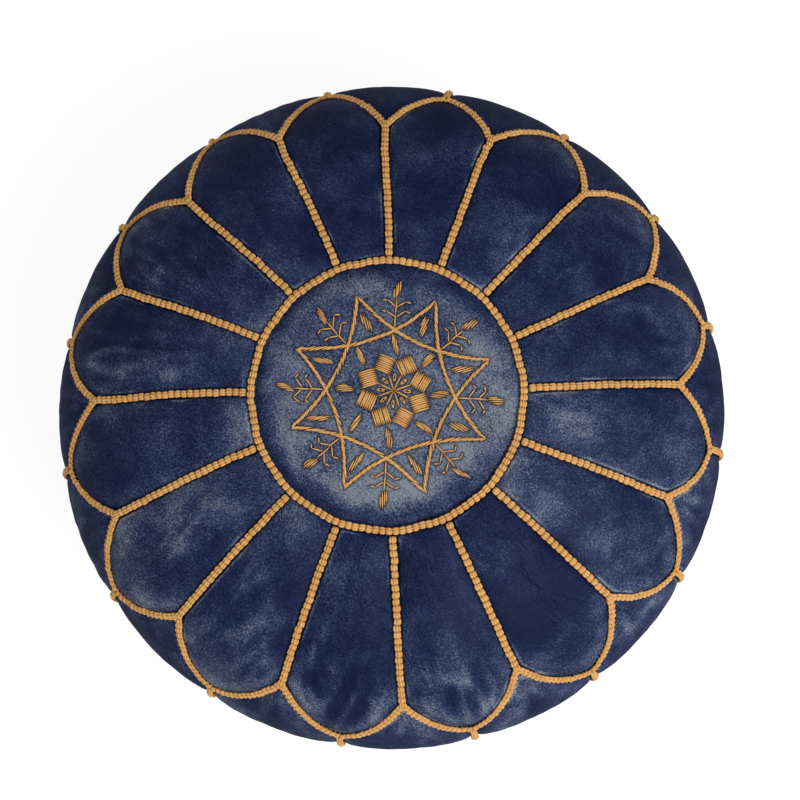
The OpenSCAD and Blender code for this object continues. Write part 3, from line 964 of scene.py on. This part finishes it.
def rosette_part(square_deg, loop_deg):
    """A satin square of eight stitches, the spoke inside it, and the small loop beside it."""
    out = []
    turn = math.radians(square_deg + 45 + rng.normal(0, 4)) + MOTIF_TURN
    d, e = np.array([math.cos(turn), math.sin(turn)]), np.array([-math.sin(turn), math.cos(turn)])
    for j in range(8):
        mid = spot(square_deg, 0.207 * R, 0, ROSETTE_AT) + e * (j - 3.5) * 0.00150
        half_long = d * (0.0061 + rng.normal(0, 0.0002))
        out.append(stitch(mid - half_long, mid + half_long, 0.00070, 0.0006))
    out.append(stitch(spot(square_deg, 0.0006, 0, ROSETTE_AT), spot(square_deg, 0.125 * R, 0, ROSETTE_AT)))
    for side in (-0.0009, 0.0009):
        near, far = side * 0.3, side
        out.append(stitch(spot(loop_deg, 0.066 * R, near, ROSETTE_AT),
                          spot(loop_deg, 0.098 * R, far, ROSETTE_AT), 0.00042))
        out.append(stitch(spot(loop_deg, 0.096 * R, far, ROSETTE_AT),
                          spot(loop_deg, 0.128 * R, near, ROSETTE_AT), 0.00042))
    return out


def sprig(deg):
    """A stem of two stitches with a leaf at its end and two pairs of hooked twigs."""
    out = [stitch(spot(deg, 0.490 * R), spot(deg, 0.60 * R, rng.normal(0, 0.0003)))]
    out.append(stitch(spot(deg, 0.592 * R, 0.0003), spot(deg, 0.71 * R)))
    out += leaf(deg, 0.772 * R, 0.0122)
    for at in (0.572 * R, 0.645 * R):
        for s in (-1, 1):
            knee = spot(deg, at + 0.0048 + rng.normal(0, 0.0006), s * (0.0070 + rng.normal(0, 0.0004)))
            hook = spot(deg, at + 0.0030 + rng.normal(0, 0.0007), s * 0.0103)
            out.append(stitch(spot(deg, at, s * 0.0003), knee, 0.00052))
            out.append(stitch(knee, hook, 0.00050))
    return out


def embroidery():
    """The four kinds of thread work, and all their threads together."""
    star, rosette, leaves, sprigs = [], [], [], []
    for k in range(POINTS):
        tip_deg, cross_deg = TURN * (k + 0.5), TURN * k
        star += star_stroke(tip_deg)
        rosette += rosette_part(tip_deg, cross_deg)
        leaves += leaf(tip_deg, 0.555 * R, 0.0145)
        leaves += leaf(cross_deg, 0.350 * R, 0.0140, LEAVES_AT)
        sprigs += sprig(cross_deg)
    thread_mesh("embroidery_star", star, "gold_thread")
    thread_mesh("embroidery_rosette", rosette, "gold_thread")
    thread_mesh("embroidery_leaves", leaves, "gold_thread")
    thread_mesh("embroidery_sprigs", sprigs, "gold_thread")
    return star + rosette + leaves + sprigs


def pressed_by(threads, x, y):
    """How far the leather is pressed in at each point, up to 1 under a stitch."""
    lines = [line for line, _, _ in threads]
    on_threads = np.concatenate(lines + [(line[1:] + line[:-1]) / 2 for line in lines])
    near = kdtree.KDTree(len(on_threads))
    for p, q in on_threads[:, :2] - OFF_CENTRE:
        near.insert((p, q, 0), 0)
    near.balance()
    away = np.array([near.find((p, q, 0))[2] for p, q in zip(x.ravel(), y.ravel())]).reshape(x.shape)
    return np.exp(-(away / 0.0013) ** 2)


def medallion_wear_and_light(pts, a, x, y, rim):
    """Pale over the middle, paler still towards the bottom and left as painted light, and a painted shadow in
    a band inside the seam, with a painted highlight on one side of that band.
    """
    # inside: 0 in a band inside the seam, left dark as a painted shadow, wider on one side
    inside = np.clip((rim - 0.006 - 0.005 * np.cos(a + 0.75)) / 0.012, 0, 1)
    # low and left: painted light, paler towards the bottom and left
    low = np.clip(0.5 - (y - 0.6 * x) / 0.14, 0, 1)
    left = np.clip(-(x + 0.6 * y) / 0.09, 0, 1.3)
    # painted highlight on one side of the dark band inside the seam
    painted_band_highlight = 0.48 * np.clip(np.cos(a - 0.15), 0, 1) ** 8
    clouds = 0.13 * lumps(pts, 22, 8) + 0.10 * lumps(pts, 60, 15)
    return 0.35 + inside * (0.24 + 0.26 * low + 0.10 * left + clouds) + (1 - inside) * painted_band_highlight


def medallion(threads):
    """The medallion, pressed in along every stitch and darkened there as painted shade, and pale over its
    middle from wear and painted light.
    """
    rho = np.concatenate([np.linspace(0.0005, 0.084, 104), np.linspace(0.085, MEDALLION_R, 14)])[:, None]
    turn = np.linspace(0, 2 * math.pi, RING_POINTS, endpoint=False)
    a = turn + waves(turn, RING_SWING)
    x, y = rho * np.cos(a), rho * np.sin(a)
    press_and_shade = pressed_by(threads, x, y)
    spread = 1 + ring_pull(turn) / MEDALLION_R
    z = medallion_z(x, y) - 0.0005 * press_and_shade
    pts = np.stack([x * spread + OFF_CENTRE[0], y * spread + OFF_CENTRE[1], z], -1)
    rim = np.broadcast_to(MEDALLION_R - rho, x.shape)
    gaps = np.where(rim < 0.0034, rim, rim * 4)
    ob = leather_piece("medallion", pts, gaps, medallion_wear_and_light(pts, a, x, y, rim), np.stack([x, y], -1),
                       wrap=True, smooth=0)
    # pressed: the dent round every stitch, also used for painted shade there
    add_float(ob, "pressed", press_and_shade)
    add_float(ob, "calm", np.ones(len(ob.data.vertices)))


medallion(embroidery())

# ---- Inside: the sewn cotton bag and what fills it ----

LINING_IN, FILLING_IN = 0.0030, 0.0058  # how far inside the leather's outer face
LINING_T = 0.0007
OVER_ZIP = 0.0195  # the filling's height over the zip


def base_z(x, y):
    """The base panel's face: pulled up to its seam, flat beside the zip and slightly uneven between."""
    rho = np.hypot(x, y)
    away = np.clip((np.abs(y) - 0.022) / 0.03, 0, 1)
    wavy = 0.0009 * np.sin(x * 40 + 0.7) * np.sin(y * 46 + 1.1) + 0.0005 * np.sin(x * 95 - y * 60)
    return BASE_Z + 0.0022 * np.exp(-((BASE_R - rho) / 0.004) ** 2) + away * wavy


def inner_skin(inside, hole):
    """A closed grid that far inside the cover, from the middle of the top to a hole round the zip."""
    body = cover[::2, ::2]
    body = body - grid_normals(body) * inside
    az = col_az[::2]
    top_r = np.linspace(0.001, MEDALLION_R - 0.004, 14)[:, None]
    x, y = top_r * np.cos(az), top_r * np.sin(az)
    top = np.stack([x, y, medallion_z(x, y) - inside], -1)
    to_box = 1 / np.maximum(np.abs(np.cos(az)) / hole[0], np.abs(np.sin(az)) / hole[1])
    t = np.linspace(0.04, 1, 16)[:, None]
    rad = (BASE_R - 0.004) * (1 - t) + to_box * t
    x, y = rad * np.cos(az), rad * np.sin(az)
    base = np.stack([x, y, base_z(x, y) + inside], -1)
    return np.concatenate([top, body, base])


def lining():
    skin = inner_skin(LINING_IN, (ZIP_HALF + 0.010, 0.0190))
    ob = new_mesh("cotton_lining", skin, grid_faces(skin.shape[0], skin.shape[1], wrap=True))
    thicken(ob, "cloth", LINING_T)
    dress(ob, "cotton_cloth", ("cotton_lining",))


def filling():
    """The stuffing, lumpy all over and hollowed over the zip."""
    x = inner_skin(FILLING_IN, (0.0012, 0.0012))
    lump = 0.0016 * (1 + lumps(x, 38, 3)) + 0.0008 * (1 + lumps(x, 95, 4))
    x = x - grid_normals(x) * lump[..., None]
    over_zip = np.clip((0.030 - np.abs(x[..., 1])) / 0.008, 0, 1)
    over_zip = over_zip * np.clip((0.142 - np.abs(x[..., 0])) / 0.008, 0, 1)
    x[..., 2] = np.where(x[..., 2] < 0.05, np.maximum(x[..., 2], OVER_ZIP * over_zip), x[..., 2])
    rows, cols = x.shape[:2]
    caps = [tuple(range(cols)), tuple(reversed(range((rows - 1) * cols, rows * cols)))]
    ob = new_mesh("filling", x, list(grid_faces(rows, cols, wrap=True)) + caps)
    dress(ob, "cotton_filling", ("filling",))


lining()
filling()

# ---- Base and zip ----

WINDOW_HALF = 0.006  # half of the width of the opening between the leather edges
WINDOW_END = 0.1262  # half of its length
ZIP_STITCHES, STITCH_PITCH, STITCH_LONG, STITCH_OUT = 47, 0.0051, 0.0036, 0.009


def base_panel(name, sign):
    """Half of the base disc, on one side of the zip, with a turned edge along it."""
    end = np.cos(np.linspace(0, 0.55, 12)) * 0.9999
    by_window_end = [-0.8430, -0.8400, 0.8400, 0.8430]
    across = np.concatenate([-end, np.linspace(-0.845, 0.845, 90), end, by_window_end])
    r_out = BASE_R - 0.0008
    x = np.sort(across) * r_out
    inner = np.where(np.abs(x) < WINDOW_END, WINDOW_HALF, 0.0003)
    outer = np.maximum(np.sqrt(np.maximum(r_out ** 2 - x ** 2, 0)), inner + 0.0002)
    y = inner + spaced(34, 0.55)[:, None] * (outer - inner)
    x = np.broadcast_to(x, y.shape)
    turned_edge = 0.0007 * np.exp(-((y - WINDOW_HALF) / 0.0012) ** 2) * (np.abs(x) < 0.13)
    pts = np.stack([x, sign * y, base_z(x, y) + turned_edge], -1)
    if sign > 0:
        pts = pts[:, ::-1]
    leather_piece(name, pts, np.minimum(BASE_R - np.hypot(x, y), np.abs(y) + 0.004),
                  0.25 + 0.12 * lumps(pts, 14, 9), pts[..., :2])


def zip_stitching():
    """A row of stitches on each side that holds the leather to the tape."""
    stitches = []
    z = BASE_Z + 0.0002 - 0.0006 * arc_t ** 0.5
    for sign in (-1, 1):
        for k in range(ZIP_STITCHES):
            x = -ZIP_HALF + k * STITCH_PITCH + spread_t * STITCH_LONG
            y = np.full(len(x), sign * STITCH_OUT) + rng.normal(0, 0.0001)
            line = np.column_stack([x, y, z])
            stitches.append((line, 0.00042 * stitch_taper, np.array([0, 0, -1.0])))
    thread_mesh("zip_stitching", stitches, "gold_thread")


def finish_zip():
    """The zip's CAD solids keep their shape: the tapes are ribbed and the brass has broken edges."""
    tape, metal = zip_tape(), brass()
    for name in ("zip_tape_left", "zip_tape_right", "zip_teeth_left", "zip_teeth_right", "zip_top_stops",
                 "zip_bottom_stop", "zip_slider", "zip_pull_tab"):
        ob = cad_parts[name]
        for s in ob.material_slots:
            s.material = tape if "tape" in name else metal
        if "tape" not in name:
            bevel = ob.modifiers.new("edges", "BEVEL")
            bevel.width, bevel.segments, bevel.limit_method = 0.00025, 2, "ANGLE"


base_panel("base_panel_left", 1)
base_panel("base_panel_right", -1)
zip_stitching()
finish_zip()

# ---- Camera, light and floor ----

TOP_TURN = math.radians(9.75)  # the picture's up direction is turned this far from +Y
CAMERA_TILT, CAMERA_WAY, CAMERA_AWAY = math.radians(7.6), math.radians(-84.1), 1.3
AIM_RIGHT, AIM_UP, AIM_Z = 0.0066, 0.0114, 0.15  # the point that it looks at
SENSOR, LENS = 36, 73.7  # in millimetres
LIT_Z = 0.2  # height of the point that the lights face


def pale_floor():
    """A pale floor that glows, so that it comes out as white as the photo's."""
    m, _, b = material("pale_floor")
    b.inputs["Base Color"].default_value = (0.3, 0.3, 0.3, 1)
    b.inputs["Roughness"].default_value = 0.9
    b.inputs["Specular IOR Level"].default_value = 0.0
    b.inputs["Emission Color"].default_value = (1, 1, 1, 1)
    b.inputs["Emission Strength"].default_value = 0.85
    me = bpy.data.meshes.new("floor")
    me.from_pydata([(-6, -6, 0), (6, -6, 0), (6, 6, 0), (-6, 6, 0)], [], [(0, 1, 2, 3)])
    me.materials.append(m)
    ob = bpy.data.objects.new("floor", me)
    ob.location.z = -0.0005
    ob.visible_glossy = False  # or its glow would whiten the leather's rim
    bpy.context.scene.collection.objects.link(ob)


def picture(x, y, z):
    """A place given by how far right and up it is in the picture, and its height."""
    c, s = math.cos(TOP_TURN), math.sin(TOP_TURN)
    return (x * c - y * s, x * s + y * c, z)


def area_light(name, place, size, power):
    """A round light that faces the top of the pouf."""
    data = bpy.data.lights.new(name, "AREA")
    data.shape, data.size, data.energy = "DISK", size, power
    ob = bpy.data.objects.new(name, data)
    ob.location = place
    ob.rotation_mode = "QUATERNION"
    ob.rotation_quaternion = (Vector((0, 0, LIT_Z)) - Vector(place)).to_track_quat("-Z", "Y")
    bpy.context.scene.collection.objects.link(ob)


def studio():
    world = bpy.data.worlds.new("studio")
    world.use_nodes = True
    background = world.node_tree.nodes["Background"]
    background.inputs[0].default_value = (1, 1, 1, 1)
    background.inputs[1].default_value = 0.28
    bpy.context.scene.world = world


def camera():
    """Almost straight above, and tilted a little towards one side."""
    out = math.sin(CAMERA_TILT)
    back = Vector(picture(out * math.cos(CAMERA_WAY), out * math.sin(CAMERA_WAY), math.cos(CAMERA_TILT)))
    aim = Vector((0, 0, AIM_Z)) + Vector(picture(AIM_RIGHT, AIM_UP, 0))
    data = bpy.data.cameras.new("camera")
    data.sensor_width, data.lens = SENSOR, LENS
    ob = bpy.data.objects.new("camera", data)
    ob.location = aim + back * CAMERA_AWAY
    right = Vector(picture(0, 1, 0)).cross(back).normalized()
    ob.rotation_mode = "QUATERNION"
    axes = Matrix((right, back.cross(right).normalized(), back)).transposed()
    ob.rotation_quaternion = axes.to_quaternion()
    bpy.context.scene.collection.objects.link(ob)
    bpy.context.scene.camera = ob


pale_floor()
area_light("key", picture(0.9, -0.9, 1.7), 1.1, 33)
area_light("fill", picture(-1.3, 0.9, 1.9), 1.6, 9)
studio()
camera()
bpy.context.scene.view_settings.view_transform = "Standard"
